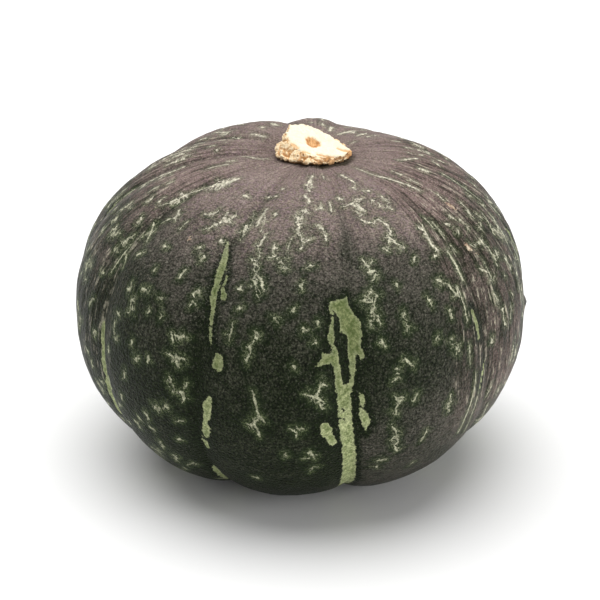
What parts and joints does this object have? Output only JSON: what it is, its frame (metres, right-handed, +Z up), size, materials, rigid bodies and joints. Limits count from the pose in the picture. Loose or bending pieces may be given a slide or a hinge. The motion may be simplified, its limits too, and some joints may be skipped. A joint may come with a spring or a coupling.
{
  "type": "kabocha squash",
  "caption": "Whole kabocha squash: a flattened, ribbed dark green fruit with pale flecks and stripes, standing on its blossom end, with its cut corky stem.",
  "frame": {"origin": "middle of the fruit's footprint box, on the surface that it rests on", "axes": "+Z up along the fruit's axis, from the blossom end to the stem end; -Y is the front, where the main stripe shows; +X is to the right of someone facing the front"},
  "size_m": [0.169, 0.1724, 0.1286],
  "materials": {
    "skin": "waxy dark green rind with a greyish purple bloom, pale green flecks and broken stripes",
    "cork": "dry, crumbly cream cork with a smooth cut face"
  },
  "bodies": {
    "root": {"fruit": "skin", "stem": "cork"}
  },
  "joints": []
}
